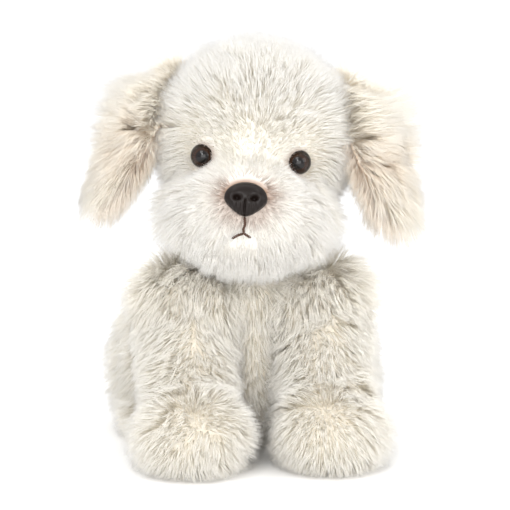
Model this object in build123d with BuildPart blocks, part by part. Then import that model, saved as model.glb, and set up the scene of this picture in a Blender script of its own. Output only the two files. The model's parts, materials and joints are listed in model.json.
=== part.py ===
from build123d import *
import os
from math import cos, radians, sin, sqrt

# A plush puppy that sits on its seat with all four paws on the floor. Millimetres.
# It faces -Y, +Z is up, its own left is +X, and the floor is Z = 0.

# Cloth and clearances
SKIN = 4.0  # pile fabric, with its backing and seam allowance
FIT = 0.2  # between a skin and the stuffing inside it
PLAY = 0.4  # between two pieces that move apart
FAR = 200.0  # longer than anything in the toy

# Torso: height, half width, half length and centre line of each station
TORSO = [(0, 40, 42, 30), (25, 56, 54, 22), (60, 54, 48, 15), (95, 46, 38, 2), (110, 34, 28, -4)]
CHEST_HALF = 15.5  # the chest that stands between the front legs
SEAT_TOP = 12.0
CHEST_BACK = -12.0
POUCH = (28, 28, 12)
POUCH_AT = (0, 21, 22)
POUCH_WALL = 1.5
LABEL = (14, 10, 0.8)
LABEL_Z = 12.0

# Front leg: it swings about X at the shoulder
SHOULDER_Y, SHOULDER_Z, SHOULDER_X = -14.0, 84.0, 40.0
SHOULDER_R = 26.0
SHOULDER_OUT = 66.0
ROUND_EDGE = 6.0
SHIN_R = 24.0
WRIST_R = 21.0
PAW = (28, 34, 23)
PAW_AT = (40, -63, 20)
SOLE = 4.0
LEG_TOP = 110.0  # the raised leg reaches this high in front of the shoulder
HEEL_ROOM = -16.0
HEEL_LEAN = 33.0  # the shin's back face leans this much from the vertical

# Hind leg: it swings about X at the hip
HIP_Y, HIP_Z = 38.0, 42.0
HIP_FACE = 37.5
THIGH_R = 36.0
THIGH_OUT = 72.0
FOOT = (15, 26, 14)
FOOT_AT = (58, 18, 12)
FOOT_ROOM = 48.0

# Tail
TAIL_AT = (0, 75.5, 34)
TAIL_R = 9.2
TAIL = (8.6, 8.6, 20)
TAIL_REACH = 15.5
TAIL_LEAN = 34.0

# Neck: a ball on a short column, turning about Z and nodding about the head's own X
NECK_AT = (0, -8, 142)
COLUMN_R = 22.0
BALL_R = 27.0
NECK_FOOT = TORSO[-1][0] + PLAY

# Head, in its own axes about the neck ball: it looks a little to its right and leans to its left
HEAD_TURN, HEAD_LEAN = -9.0, 3.5
SKULL = (50, 48, 46)
SKULL_AT = (0, -7, 48)
MUZZLE = (42, 34, 32)
MUZZLE_AT = (0, -40, 6)
GUSSET_HALF = 20.0
CHIN_Z = -8.0
MUZZLE_SEAM_AT = (0, -50, 20)
MUZZLE_SEAM_FACING = Vector(0, -0.9, -0.44)
NOD_ROOM = 29.0

# Eyes and nose: one-piece plastic with a stem that a washer locks inside the head
EYE_R = 7.2
EYE_X, EYE_Z = 28.0, 35.5
EYE_SUNK = 1.2
EYE_OUTWARD = (0.47, -0.87, -0.1)
STEM_R, STEM_LENGTH = 2.5, 13.0
WASHER_R, WASHER_T, WASHER_DEPTH = 8.0, 2.0, 6.6
NOSE_Z = 17.0
NOSE_DEPTH, NOSE_SUNK, NOSE_TIP_UP = 10.5, 1.5, 24.0
NOSE_LOBE, NOSE_LOBE_AT = 6.0, (6.5, 3.5)
NOSE_FOOT, NOSE_FOOT_AT = 3.8, (0, -6.5)
NOSE_EDGE = 3.4
NOSTRIL = (2.2, 2.6, 3.0)
NOSTRIL_AT = (5.4, 0.8)
THREAD_R = 0.9
MOUTH_TOP, MOUTH_FORK, MOUTH_END = 4.5, -2.2, (6.0, -7.0)

# Ears: a flat leaf that hangs from a roll of cloth, the hinge, beside the crown
EAR_HINGE = (50.5, 2, 75)
EAR_ROLL_R, EAR_ROLL_LENGTH = 5.0, 16.0
EAR = (23, 43, 5)
EAR_DROP = 37.0
EAR_OUT, EAR_FORWARD = 32.5, 25.0
EAR_CLEAR = 3.0


def ellipsoid(centre, radii):
    """A solid ellipsoid with its axes along the frame's."""
    with BuildPart(mode=Mode.PRIVATE) as shape:
        Sphere(1)
        scale(by=radii)
    return shape.part.moved(Location(centre))


def inset(radii, amount):
    """Radii of the same shape, a layer further in."""
    return tuple(radius - amount for radius in radii)


def less(shape, *removed):
    """A shape with others taken out of it."""
    with BuildPart(mode=Mode.PRIVATE) as rest:
        add(shape)
        for other in removed:
            add(other, mode=Mode.SUBTRACT)
    return rest.part


def panel(shell, *planes):
    """The piece of a shell that lies on the normal side of every plane."""
    with BuildPart(mode=Mode.PRIVATE) as piece:
        add(shell)
        for plane in planes:
            split(bisect_by=plane, keep=Keep.TOP)
    return piece.part


def both_sides(shape):
    """A shape with its mirror image across the middle of the toy."""
    with BuildPart(mode=Mode.PRIVATE) as pair:
        add(shape)
        mirror(about=Plane.YZ)
    return pair.part


# ---------------------------------------------------------------- torso


def shoulder_room(grow):
    """The space beside the chest that the front legs swing through."""
    heel_y = SHOULDER_Y + SHOULDER_R * cos(radians(HEEL_LEAN))
    heel_z = SHOULDER_Z - SHOULDER_R * sin(radians(HEEL_LEAN))
    with BuildPart(mode=Mode.PRIVATE) as room:
        with BuildSketch(Plane.YZ.offset(CHEST_HALF - grow)):
            with Locations((SHOULDER_Y, SHOULDER_Z)):
                Circle(SHOULDER_R + PLAY)
            Polygon(
                (SHOULDER_Y, SHOULDER_Z),
                (heel_y, heel_z),
                (HEEL_ROOM, PAW_AT[2]),
                (HEEL_ROOM, -SKIN),
                (-FAR, -SKIN),
                (-FAR, LEG_TOP),
                (SHOULDER_Y - SHOULDER_R / 2, LEG_TOP),
                align=None,
            )
            offset(amount=grow, kind=Kind.INTERSECTION)
        extrude(amount=FAR)
    return both_sides(room.part)


def hip_room(grow):
    """The space beside the rump that the thighs and hind feet swing through."""
    back = HIP_Y + THIGH_R + PLAY
    with BuildPart(mode=Mode.PRIVATE) as room:
        with BuildSketch(Plane.YZ.offset(HIP_FACE - grow)):
            with Locations((HIP_Y, HIP_Z)):
                Circle(THIGH_R + PLAY)
            Polygon(
                (back, HIP_Z),
                (back, -SKIN),
                (-FAR, -SKIN),
                (-FAR, FOOT_ROOM),
                (HIP_Y, FOOT_ROOM),
                align=None,
            )
            offset(amount=grow, kind=Kind.INTERSECTION)
        extrude(amount=FAR)
    return both_sides(room.part)


def torso(depth):
    """The torso's solid, a given depth inside its outer face."""
    last = len(TORSO) - 1
    with BuildPart(mode=Mode.PRIVATE) as body:
        for index, (height, half_width, half_length, middle) in enumerate(TORSO):
            level = height + depth if index == 0 else height - depth if index == last else height
            with BuildSketch(Plane.XY.offset(level)):
                with Locations((0, middle)):
                    Ellipse(half_width - depth, half_length - depth)
        loft()
        add(shoulder_room(depth), mode=Mode.SUBTRACT)
        add(hip_room(depth), mode=Mode.SUBTRACT)
        with Locations(TAIL_AT):
            Sphere(TAIL_R + PLAY + depth, mode=Mode.SUBTRACT)
    return body.part


above_seat = Plane.XY.offset(SEAT_TOP)
below_seat = Plane((0, 0, SEAT_TOP), z_dir=(0, 0, -1))
before_sides = Plane((0, CHEST_BACK, 0), z_dir=(0, -1, 0))
behind_chest = Plane((0, CHEST_BACK, 0), z_dir=(0, 1, 0))
torso_shell = less(torso(0), torso(SKIN))

with BuildPart() as body_side_left:
    add(panel(torso_shell, above_seat, behind_chest, Plane.YZ))

with BuildPart() as body_side_right:
    add(panel(torso_shell, above_seat, behind_chest, -Plane.YZ))

with BuildPart() as chest_panel:
    add(panel(torso_shell, above_seat, before_sides))

with BuildPart() as seat_panel:
    add(panel(torso_shell, below_seat))

with BuildPart() as body_filling:
    add(torso(SKIN + FIT))
    add(ellipsoid(POUCH_AT, inset(POUCH, -FIT)), mode=Mode.SUBTRACT)

with BuildPart() as pellet_pouch:
    add(ellipsoid(POUCH_AT, POUCH))
    add(ellipsoid(POUCH_AT, inset(POUCH, POUCH_WALL)), mode=Mode.SUBTRACT)

with BuildPart() as pellets:
    add(ellipsoid(POUCH_AT, inset(POUCH, POUCH_WALL + FIT)))

# The blank ribbon label is caught in the seat seam at the back.
with BuildPart() as sewn_in_label:
    with Locations((0, TAIL_AT[1], LABEL_Z)):
        Box(LABEL[0], 2 * LABEL[1], LABEL[2], align=(Align.CENTER, Align.MIN, Align.CENTER))
    add(torso(0), mode=Mode.SUBTRACT)

# ---------------------------------------------------------------- neck


def neck(depth):
    """A ball on a column, about the vertical line through the neck."""
    column = COLUMN_R - depth
    ball = BALL_R - depth
    foot = NECK_FOOT + depth
    top = NECK_AT[2] + ball
    shoulder = NECK_AT[2] - sqrt(ball**2 - column**2)
    with BuildPart(mode=Mode.PRIVATE) as solid:
        with BuildSketch(Plane((NECK_AT[0], NECK_AT[1], 0), z_dir=(0, -1, 0), x_dir=(1, 0, 0))):
            with BuildLine():
                Polyline((0, top), (0, foot), (column, foot), (column, shoulder))
                ThreePointArc((column, shoulder), (ball, NECK_AT[2]), (0, top))
            make_face()
        revolve(axis=Axis((NECK_AT[0], NECK_AT[1], 0), (0, 0, 1)))
    return solid.part


with BuildPart() as neck_tube:
    add(less(neck(0), neck(SKIN)))

with BuildPart() as neck_filling:
    add(neck(SKIN + FIT))

# ---------------------------------------------------------------- head

head_plane = Plane(Location(NECK_AT, (0, HEAD_LEAN, HEAD_TURN)))


def neck_room(grow):
    """The socket for the neck ball, and the way its column needs below when the head nods."""
    with BuildPart(mode=Mode.PRIVATE) as room:
        Sphere(BALL_R + PLAY + grow)
        Cylinder(NOD_ROOM + grow, FAR, align=(Align.CENTER, Align.CENTER, Align.MAX))
    return room.part


def head(depth):
    """The skull and muzzle as one solid, a given depth inside their outer face."""
    with BuildPart(mode=Mode.PRIVATE) as solid:
        add(ellipsoid(SKULL_AT, inset(SKULL, depth)))
        add(ellipsoid(MUZZLE_AT, inset(MUZZLE, depth)))
        add(neck_room(depth), mode=Mode.SUBTRACT)
    return solid.part


def front_of(centre, radii, x, z, out=0.0):
    """The point of an ellipsoid's front face at a given x and z, a little way out."""
    wide, deep, high = inset(radii, -out)
    span = 1 - ((x - centre[0]) / wide) ** 2 - ((z - centre[2]) / high) ** 2
    return (x, centre[1] - deep * sqrt(span), z)


def button_plane(surface_point, outward, sunk):
    """The plane of a plastic button's back, sunk a little into the fabric."""
    direction = Vector(*outward).normalized()
    return Plane(Vector(*surface_point) - direction * sunk, z_dir=direction, x_dir=(1, 0, 0))


def stem(plane, grow=0.0):
    """The stem behind a button."""
    with BuildPart(plane, mode=Mode.PRIVATE) as shape:
        Cylinder(STEM_R + grow, STEM_LENGTH + grow, align=(Align.CENTER, Align.CENTER, Align.MAX))
    return shape.part


def washer(plane, grow=0.0):
    """The washer that locks a stem from inside."""
    with BuildPart(plane.offset(-WASHER_DEPTH + grow), mode=Mode.PRIVATE) as shape:
        Cylinder(WASHER_R + grow, WASHER_T + 2 * grow, align=(Align.CENTER, Align.CENTER, Align.MAX))
    return shape.part


def nose_block(plane, depth, grow=0.0):
    """The nose's outline, two wide lobes over a narrow foot, given a depth."""
    with BuildPart(mode=Mode.PRIVATE) as block:
        with BuildSketch(plane):
            with Locations(NOSE_LOBE_AT, (-NOSE_LOBE_AT[0], NOSE_LOBE_AT[1])):
                Circle(NOSE_LOBE + grow)
            with Locations(NOSE_FOOT_AT):
                Circle(NOSE_FOOT + grow)
            make_hull()
        extrude(amount=depth)
    return block.part


eye_plane = button_plane(front_of(SKULL_AT, SKULL, EYE_X, EYE_Z), EYE_OUTWARD, EYE_SUNK)
nose_normal = (0, -cos(radians(NOSE_TIP_UP)), sin(radians(NOSE_TIP_UP)))
nose_plane = button_plane(front_of(MUZZLE_AT, MUZZLE, 0, NOSE_Z), nose_normal, NOSE_SUNK)

with BuildPart(eye_plane, mode=Mode.PRIVATE) as eye_seat:
    Cylinder(EYE_R + FIT / 2, EYE_R, align=(Align.CENTER, Align.CENTER, Align.MIN))

eye_stem_room = both_sides(stem(eye_plane, FIT / 2))
eye_washer_room = both_sides(washer(eye_plane, FIT))
nose_stem_room = stem(nose_plane, FIT / 2)
head_shell = less(
    head(0),
    head(SKIN),
    both_sides(eye_seat.part),
    eye_stem_room,
    nose_block(nose_plane, NOSE_DEPTH, FIT / 2),
    nose_stem_room,
)

# The muzzle panel meets the crown and cheeks on one sloping seam under the eyes.
before_seam = Plane(MUZZLE_SEAM_AT, z_dir=MUZZLE_SEAM_FACING)
behind_seam = Plane(MUZZLE_SEAM_AT, z_dir=-MUZZLE_SEAM_FACING)
above_chin = Plane.XY.offset(CHIN_Z)
below_chin = Plane((0, 0, CHIN_Z), z_dir=(0, 0, -1))
left_of_gusset = Plane.YZ.offset(GUSSET_HALF)
right_of_gusset = Plane((-GUSSET_HALF, 0, 0), z_dir=(-1, 0, 0))
inside_left = Plane((GUSSET_HALF, 0, 0), z_dir=(-1, 0, 0))
inside_right = Plane.YZ.offset(-GUSSET_HALF)

with BuildPart(head_plane) as head_side_left:
    add(panel(head_shell, behind_seam, left_of_gusset))

with BuildPart(head_plane) as head_side_right:
    add(panel(head_shell, behind_seam, right_of_gusset))

with BuildPart(head_plane) as head_gusset:
    add(panel(head_shell, behind_seam, inside_left, inside_right))

with BuildPart(head_plane) as muzzle_panel:
    add(panel(head_shell, before_seam, above_chin))

with BuildPart(head_plane) as chin_panel:
    add(panel(head_shell, before_seam, below_chin))

with BuildPart(head_plane) as head_filling:
    add(less(head(SKIN + FIT), eye_stem_room, eye_washer_room, nose_stem_room, washer(nose_plane, FIT)))

with BuildPart(eye_plane, mode=Mode.PRIVATE) as eye_shape:
    Sphere(EYE_R, arc_size1=0, align=(Align.CENTER, Align.CENTER, Align.MIN))
    Cylinder(STEM_R, STEM_LENGTH, align=(Align.CENTER, Align.CENTER, Align.MAX))

with BuildPart(mode=Mode.PRIVATE) as nose_shape:
    add(nose_block(nose_plane, NOSE_DEPTH))
    nose_front = nose_shape.faces().sort_by(Axis(nose_plane.origin, nose_plane.z_dir))[-1]
    fillet(nose_front.edges(), radius=NOSE_EDGE)
    add(stem(nose_plane))
    nose_face = nose_plane.offset(NOSE_DEPTH)
    for nostril_x in (NOSTRIL_AT[0], -NOSTRIL_AT[0]):
        centre = nose_face.from_local_coords((nostril_x, NOSTRIL_AT[1], 0))
        add(ellipsoid(tuple(centre), NOSTRIL), mode=Mode.SUBTRACT)

with BuildPart(head_plane) as nose:
    add(nose_shape.part)

with BuildPart(head_plane) as nose_washer:
    add(less(washer(nose_plane), nose_stem_room))

with BuildPart(mode=Mode.PRIVATE) as stitches:
    fork = front_of(MUZZLE_AT, MUZZLE, 0, MOUTH_FORK, THREAD_R + FIT)
    ends = [
        (0, MOUTH_TOP),
        (MOUTH_END[0], MOUTH_END[1]),
        (-MOUTH_END[0], MOUTH_END[1]),
    ]
    for end_x, end_z in ends:
        end = front_of(MUZZLE_AT, MUZZLE, end_x, end_z, THREAD_R + FIT)
        middle = front_of(MUZZLE_AT, MUZZLE, end_x / 2, (MOUTH_FORK + end_z) / 2, THREAD_R + FIT)
        with BuildLine() as stitch:
            ThreePointArc(fork, middle, end)
        with BuildSketch(Plane(fork, z_dir=stitch.line % 0)):
            Circle(THREAD_R)
        sweep(path=stitch.line)
    with Locations(fork):
        Sphere(THREAD_R)

with BuildPart(head_plane) as mouth_stitching:
    add(stitches.part)

# ---------------------------------------------------------------- ears

ear_width = Vector(sin(radians(EAR_FORWARD)), cos(radians(EAR_FORWARD)), 0)
ear_hang = Vector(sin(radians(EAR_OUT)), 0, -cos(radians(EAR_OUT)))
ear_plane = Plane(EAR_HINGE, x_dir=ear_width, z_dir=ear_hang.cross(ear_width))

with BuildPart(ear_plane, mode=Mode.PRIVATE) as ear_roll:
    Cylinder(EAR_ROLL_R, EAR_ROLL_LENGTH, rotation=(0, 90, 0))

with BuildPart(ear_plane, mode=Mode.PRIVATE) as ear_leaf:
    add(ellipsoid((0, -EAR_DROP, 0), EAR))

with BuildPart(mode=Mode.PRIVATE) as ear_shape:
    add(ear_leaf.part)
    add(ellipsoid(SKULL_AT, inset(SKULL, -EAR_CLEAR)), mode=Mode.SUBTRACT)
    add(ear_roll.part)

# ---------------------------------------------------------------- legs


def joint_round(y, z, face, out, radius):
    """A round of stuffing about an X axis: flat towards the body and domed outside."""
    middle = (face + out) / 2
    edge = face + ROUND_EDGE
    crown = (middle + (out - middle) * sqrt(0.5), radius * sqrt(0.5))
    with BuildPart(mode=Mode.PRIVATE) as shape:
        with BuildSketch(Plane((0, y, z), x_dir=(1, 0, 0), z_dir=(0, -1, 0))):
            with BuildLine():
                Polyline((out, 0), (face, 0), (face, radius - ROUND_EDGE))
                CenterArc((edge, radius - ROUND_EDGE), ROUND_EDGE, 90, 90)
                Line((edge, radius), (middle, radius))
                Spline((middle, radius), crown, (out, 0), tangents=((1, 0), (0, -1)))
            make_face()
        revolve(axis=Axis((0, y, z), (1, 0, 0)))
    return shape.part


def front_leg(depth):
    """The left front leg's solid, a given depth inside its outer face."""
    start = Vector(SHOULDER_X, SHOULDER_Y, SHOULDER_Z)
    run = Vector(*PAW_AT) - start
    face = CHEST_HALF + PLAY + depth
    with BuildPart(Plane(start, z_dir=run), mode=Mode.PRIVATE) as shin:
        Cone(SHIN_R - depth, WRIST_R - depth, run.length, align=(Align.CENTER, Align.CENTER, Align.MIN))
    with BuildPart(mode=Mode.PRIVATE) as leg:
        add(joint_round(SHOULDER_Y, SHOULDER_Z, face, SHOULDER_OUT - depth, SHOULDER_R - depth))
        add(panel(shin.part, Plane.YZ.offset(face)))
        add(ellipsoid(PAW_AT, inset(PAW, depth)))
    return panel(leg.part, Plane.XY.offset(depth))


def hind_leg(depth):
    """The left hind leg's solid: a thigh on its side and a foot along the floor."""
    face = HIP_FACE + PLAY + depth
    foot = panel(ellipsoid(FOOT_AT, inset(FOOT, depth)), Plane.YZ.offset(face))
    with BuildPart(mode=Mode.PRIVATE) as leg:
        add(joint_round(HIP_Y, HIP_Z, face, THIGH_OUT - depth, THIGH_R - depth))
        add(foot)
    return panel(leg.part, Plane.XY.offset(depth))


above_sole = Plane.XY.offset(SOLE)
below_sole = Plane((0, 0, SOLE), z_dir=(0, 0, -1))

# ---------------------------------------------------------------- tail

tail_lean = Vector(0, sin(radians(TAIL_LEAN)), cos(radians(TAIL_LEAN)))


def tail(depth):
    """A round root and a long soft end, a given depth inside their outer face."""
    with BuildPart(Plane(TAIL_AT, z_dir=tail_lean), mode=Mode.PRIVATE) as shape:
        Sphere(TAIL_R - depth)
        add(ellipsoid((0, 0, TAIL_REACH), inset(TAIL, depth)))
    return shape.part


with BuildPart() as tail_skin:
    add(less(tail(0), tail(SKIN)))

with BuildPart() as tail_filling:
    add(tail(SKIN + FIT))

# ---------------------------------------------------------------- the paired pieces and the files

singles = {
    "body_side_left": body_side_left,
    "body_side_right": body_side_right,
    "chest_panel": chest_panel,
    "seat_panel": seat_panel,
    "body_filling": body_filling,
    "pellet_pouch": pellet_pouch,
    "pellets": pellets,
    "sewn_in_label": sewn_in_label,
    "neck_tube": neck_tube,
    "neck_filling": neck_filling,
    "head_side_left": head_side_left,
    "head_side_right": head_side_right,
    "head_gusset": head_gusset,
    "muzzle_panel": muzzle_panel,
    "chin_panel": chin_panel,
    "head_filling": head_filling,
    "nose": nose,
    "nose_washer": nose_washer,
    "mouth_stitching": mouth_stitching,
    "tail_skin": tail_skin,
    "tail_filling": tail_filling,
}

# Each of these is drawn for the left side: its shape, and the plane that it stands on.
front_shell = less(front_leg(0), front_leg(SKIN))
hind_shell = less(hind_leg(0), hind_leg(SKIN))
pairs = {
    "eye_{}": (eye_shape.part, head_plane),
    "eye_washer_{}": (less(washer(eye_plane), stem(eye_plane, FIT / 2)), head_plane),
    "ear_{}_outer": (panel(ear_shape.part, ear_plane), head_plane),
    "ear_{}_inner": (panel(ear_shape.part, -ear_plane), head_plane),
    "front_leg_{}_skin": (panel(front_shell, above_sole), Plane.XY),
    "front_leg_{}_sole": (panel(front_shell, below_sole), Plane.XY),
    "front_leg_{}_filling": (front_leg(SKIN + FIT), Plane.XY),
    "hind_leg_{}_skin": (panel(hind_shell, above_sole), Plane.XY),
    "hind_leg_{}_sole": (panel(hind_shell, below_sole), Plane.XY),
    "hind_leg_{}_filling": (hind_leg(SKIN + FIT), Plane.XY),
}

os.makedirs("parts", exist_ok=True)
for name, piece in singles.items():
    piece.part.label = name
    export_step(piece.part, f"parts/{name}.step")

for pattern, (shape, plane) in pairs.items():
    images = {"left": shape, "right": mirror(shape, about=Plane.YZ)}
    for side, image in images.items():
        name = pattern.format(side)
        with BuildPart(plane) as piece:
            add(image)
        piece.part.label = name
        export_step(piece.part, f"parts/{name}.step")
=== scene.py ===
"""A sitting plush puppy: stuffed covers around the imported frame, with modelled long pile."""

import json
import math

import bpy
import numpy as np
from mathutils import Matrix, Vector
from mathutils.bvhtree import BVHTree
from mathutils.kdtree import KDTree


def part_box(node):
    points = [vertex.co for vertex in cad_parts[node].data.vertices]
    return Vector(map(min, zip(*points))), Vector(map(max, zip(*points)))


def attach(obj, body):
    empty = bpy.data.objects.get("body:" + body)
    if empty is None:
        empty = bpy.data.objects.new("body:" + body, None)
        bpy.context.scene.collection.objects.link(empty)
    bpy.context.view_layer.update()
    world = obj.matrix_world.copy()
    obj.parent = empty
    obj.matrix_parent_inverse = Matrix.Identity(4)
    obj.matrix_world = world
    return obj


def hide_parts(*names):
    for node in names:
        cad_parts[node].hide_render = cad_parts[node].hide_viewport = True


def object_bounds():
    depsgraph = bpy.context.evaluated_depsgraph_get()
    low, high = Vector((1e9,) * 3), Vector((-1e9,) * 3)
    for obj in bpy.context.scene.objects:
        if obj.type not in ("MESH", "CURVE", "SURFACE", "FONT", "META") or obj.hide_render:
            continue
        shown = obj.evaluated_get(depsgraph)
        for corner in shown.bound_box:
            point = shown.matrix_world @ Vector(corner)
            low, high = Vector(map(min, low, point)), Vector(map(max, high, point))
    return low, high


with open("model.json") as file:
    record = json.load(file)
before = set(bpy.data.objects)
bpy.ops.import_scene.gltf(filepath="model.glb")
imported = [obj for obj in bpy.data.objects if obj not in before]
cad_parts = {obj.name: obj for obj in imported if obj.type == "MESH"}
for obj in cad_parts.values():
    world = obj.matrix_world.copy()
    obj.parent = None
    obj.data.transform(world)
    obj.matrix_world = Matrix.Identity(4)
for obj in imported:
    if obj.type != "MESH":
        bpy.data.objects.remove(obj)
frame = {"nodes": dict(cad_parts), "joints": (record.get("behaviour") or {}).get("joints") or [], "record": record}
cad_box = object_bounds()
rng = np.random.default_rng(7)
MM = 0.001
UP = np.array([0.0, 0.0, 1.0])


# --- small mesh and vector tools


def unit(v):
    """Rows of v, each scaled to length 1."""
    return v / np.maximum(np.linalg.norm(v, axis=-1, keepdims=True), 1e-9)


def flat_to(v, normal):
    """Rows of v with their part along the normal taken away."""
    return v - (v * normal).sum(-1, keepdims=True) * normal


def ramp(x, low, high):
    """0 below low, 1 above high, and smooth between."""
    t = np.clip((x - low) / (high - low), 0, 1)
    return t * t * (3 - 2 * t)


def mix(a, b, t):
    """From a to b, row by row where t has fewer dimensions than they have."""
    if max(np.ndim(a), np.ndim(b)) > np.ndim(t):
        t = np.asarray(t)[..., None]
    return a + (b - a) * t


def values_of(rows, name, kind=np.float32):
    """One property of three numbers, of every vertex, triangle or polygon."""
    values = np.zeros(len(rows) * 3, kind)
    rows.foreach_get(name, values)
    return values.reshape(-1, 3)


def read_mesh(mesh):
    """(points, triangles, normals) of a mesh."""
    mesh.calc_loop_triangles()
    points, normals = (values_of(mesh.vertices, name).astype(float) for name in ("co", "normal"))
    return points, values_of(mesh.loop_triangles, "vertices", np.int32), normals


def triangle_mesh(name, points, triangles):
    """A mesh from arrays, smooth shaded."""
    mesh = bpy.data.meshes.new(name)
    mesh.vertices.add(len(points))
    mesh.vertices.foreach_set("co", np.ascontiguousarray(points, np.float32).ravel())
    mesh.loops.add(triangles.size)
    mesh.loops.foreach_set("vertex_index", np.ascontiguousarray(triangles, np.int32).ravel())
    mesh.polygons.add(len(triangles))
    mesh.polygons.foreach_set("loop_start", np.arange(0, triangles.size, 3, dtype=np.int32))
    mesh.polygons.foreach_set("use_smooth", np.ones(len(triangles), bool))
    mesh.update(calc_edges=True)
    return mesh


def place(name, mesh):
    """An object in the scene for a mesh."""
    piece = bpy.data.objects.new(name, mesh)
    bpy.context.scene.collection.objects.link(piece)
    return piece


def baked(piece):
    """The piece with its modifiers applied."""
    bpy.context.view_layer.update()
    depsgraph = bpy.context.evaluated_depsgraph_get()
    mesh = bpy.data.meshes.new_from_object(piece.evaluated_get(depsgraph))
    piece.modifiers.clear()
    piece.data = mesh
    return piece


# --- materials


SHEEN_ROUGHNESS = 0.5
NOISE_DETAIL = 3.0
STITCH_STRENGTH = 0.35
PATCHES_OF_PILE = 45.0  # how many slow changes of tint there are in a metre of pile
PATCHES_OF_CLOTH = 70.0
STITCH_DEPTH = 0.6 * MM
GRAIN_DEPTH = 0.2 * MM


def material(name, roughness=0.6, sheen=0.0, specular=0.5):
    """A Principled material, its nodes and links, to add a pattern to."""
    made = bpy.data.materials.new(name)
    made.use_nodes = True
    nodes, links = made.node_tree.nodes, made.node_tree.links
    shader = nodes["Principled BSDF"]
    shader.inputs["Roughness"].default_value = roughness
    shader.inputs["Sheen Weight"].default_value = sheen
    shader.inputs["Sheen Roughness"].default_value = SHEEN_ROUGHNESS
    shader.inputs["Specular IOR Level"].default_value = specular
    return made, nodes, links, shader


def lay_on(nodes, links, socket):
    """A pattern's place is that of the object itself."""
    links.new(nodes.new("ShaderNodeTexCoord").outputs["Object"], socket)


def noise_between(nodes, links, scale, low, high):
    """A colour that wanders between two, at a scale in cycles per metre."""
    noise = nodes.new("ShaderNodeTexNoise")
    noise.inputs["Scale"].default_value = scale
    noise.inputs["Detail"].default_value = NOISE_DETAIL
    blend = nodes.new("ShaderNodeMix")
    blend.data_type = "RGBA"
    blend.inputs["A"].default_value = (*low, 1)
    blend.inputs["B"].default_value = (*high, 1)
    lay_on(nodes, links, noise.inputs["Vector"])
    links.new(noise.outputs["Fac"], blend.inputs["Factor"])
    return blend.outputs["Result"], noise


def add_bump(nodes, links, shader, height, strength, distance):
    """Bump from a height output."""
    bump = nodes.new("ShaderNodeBump")
    bump.inputs["Strength"].default_value = strength
    bump.inputs["Distance"].default_value = distance
    links.new(height, bump.inputs["Height"])
    links.new(bump.outputs["Normal"], shader.inputs["Normal"])


def pile_material():
    """Long plush pile: each fibre has its own tint, and patches wander a little darker."""
    made, nodes, links, shader = material("plush_pile", roughness=0.62, sheen=0.25, specular=0.25)
    tint = nodes.new("ShaderNodeAttribute")
    tint.attribute_name = "tint"
    wander, _ = noise_between(
        nodes, links, PATCHES_OF_PILE, (0.975, 0.97, 0.96), (1.0, 1.0, 1.0)
    )
    both = nodes.new("ShaderNodeMix")
    both.data_type = "RGBA"
    both.blend_type = "MULTIPLY"
    both.inputs["Factor"].default_value = 1.0
    links.new(tint.outputs["Color"], both.inputs["A"])
    links.new(wander, both.inputs["B"])
    links.new(both.outputs["Result"], shader.inputs["Base Color"])
    return made


def cloth_material(name, low, high, roughness=0.8, weave=900.0):
    """A close knitted cloth: fine stitches and slow colour change."""
    made, nodes, links, shader = material(name, roughness=roughness, sheen=0.2, specular=0.2)
    colour, _ = noise_between(nodes, links, PATCHES_OF_CLOTH, low, high)
    links.new(colour, shader.inputs["Base Color"])
    stitches = nodes.new("ShaderNodeTexVoronoi")
    stitches.inputs["Scale"].default_value = weave
    lay_on(nodes, links, stitches.inputs["Vector"])
    add_bump(nodes, links, shader, stitches.outputs["Distance"], STITCH_STRENGTH, STITCH_DEPTH)
    return made


def plastic_material(name, low, high, roughness, grain=500.0, strength=0.05, specular=0.5):
    """Moulded plastic with a trace of grain."""
    made, nodes, links, shader = material(name, roughness=roughness, specular=specular)
    colour, noise = noise_between(nodes, links, grain, low, high)
    links.new(colour, shader.inputs["Base Color"])
    add_bump(nodes, links, shader, noise.outputs["Fac"], strength, GRAIN_DEPTH)
    return made


PILE = pile_material()
BACKING = cloth_material("pile_backing", (0.84, 0.78, 0.67), (0.90, 0.85, 0.76))
LINING = cloth_material("ear_lining_cloth", (0.84, 0.69, 0.55), (0.91, 0.79, 0.66))
STUFFING = cloth_material(
    "polyester_stuffing", (0.80, 0.80, 0.80), (0.90, 0.90, 0.90), weave=300.0
)
POUCH = cloth_material("pouch_weave", (0.62, 0.60, 0.55), (0.72, 0.70, 0.66), weave=1500.0)
RIBBON = cloth_material(
    "satin_ribbon", (0.82, 0.82, 0.80), (0.88, 0.88, 0.86), roughness=0.4, weave=2500.0
)
THREAD = cloth_material(
    "mouth_floss", (0.045, 0.018, 0.010), (0.085, 0.038, 0.020), roughness=0.5, weave=2500.0
)
WASHERS = plastic_material(
    "washer_nylon", (0.60, 0.60, 0.57), (0.70, 0.70, 0.66), roughness=0.45
)
BEADS = plastic_material("bead_plastic", (0.55, 0.55, 0.52), (0.66, 0.66, 0.63), roughness=0.5)
NOSE = plastic_material(
    "nose_plastic", (0.006, 0.004, 0.0035), (0.012, 0.007, 0.005),
    roughness=0.33, grain=900.0, strength=0.08, specular=0.20,
)


def wear(piece, *materials):
    """Gives a piece its materials, in slot order."""
    piece.data.materials.clear()
    for made in materials:
        piece.data.materials.append(made)


# --- the head's own axes

joints = {joint["name"]: joint for joint in frame["joints"]}


def joint_point(name):
    """Where a joint is, in metres."""
    return np.array(joints[name]["pos_m"], float)


HEAD_AT = joint_point("head_nod")
HEAD_X = unit(np.array(joints["head_nod"]["axis"], float))
crown_way = (joint_point("ear_left_lift") + joint_point("ear_right_lift")) / 2 - HEAD_AT
HEAD_Z = unit(flat_to(crown_way, HEAD_X))
HEAD_Y = np.cross(HEAD_Z, HEAD_X)
HEAD = np.array([HEAD_X, HEAD_Y, HEAD_Z])


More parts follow.
